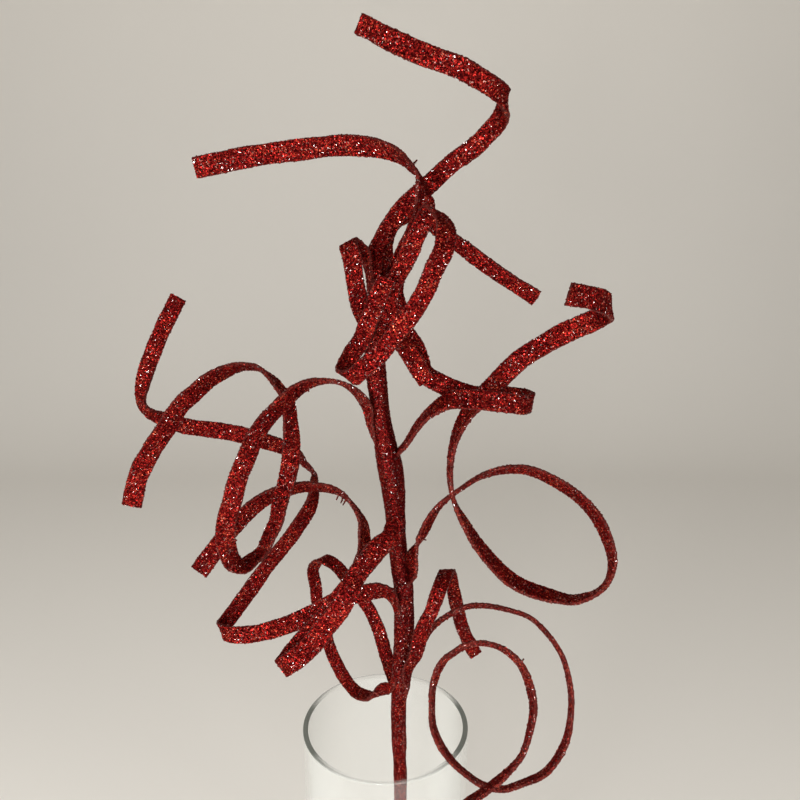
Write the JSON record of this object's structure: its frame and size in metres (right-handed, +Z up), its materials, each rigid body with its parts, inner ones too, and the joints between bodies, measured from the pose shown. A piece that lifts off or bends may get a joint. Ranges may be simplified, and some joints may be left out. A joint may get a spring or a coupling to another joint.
{
  "type": "curly willow branch",
  "caption": "Spray of flat, curled, glitter-coated willow strips bound along one upright stem, standing in a plain clear glass cylinder vase as a table decoration.",
  "frame": {"origin": "centre of the vase's flat bottom, on the table", "axes": "+Z up along the vase's axis; -Y to the front, the side that the stem leans to; +X to the right"},
  "size_m": [0.2362, 0.1739, 0.5837],
  "materials": {
    "clear_glass": "clear, polished",
    "wrapped_stem": "rough, red, lightly glittered",
    "glittered_willow": "red with coarse sparkling glitter, darker edges"
  },
  "bodies": {
    "root": {"vase": "clear_glass", "stem": "wrapped_stem", "curl_top": "glittered_willow", "curl_upper_long": "glittered_willow", "coil_front": "glittered_willow", "curl_upper_right": "glittered_willow", "loop_small_left": "glittered_willow", "curl_far_left": "glittered_willow", "coil_left": "glittered_willow", "curl_right_loop": "glittered_willow", "curl_low_left": "glittered_willow", "fold_front": "glittered_willow", "loop_low_back": "glittered_willow", "curl_low_right": "glittered_willow", "coil_low_right": "glittered_willow", "curl_short_knot": "glittered_willow"}
  },
  "joints": []
}
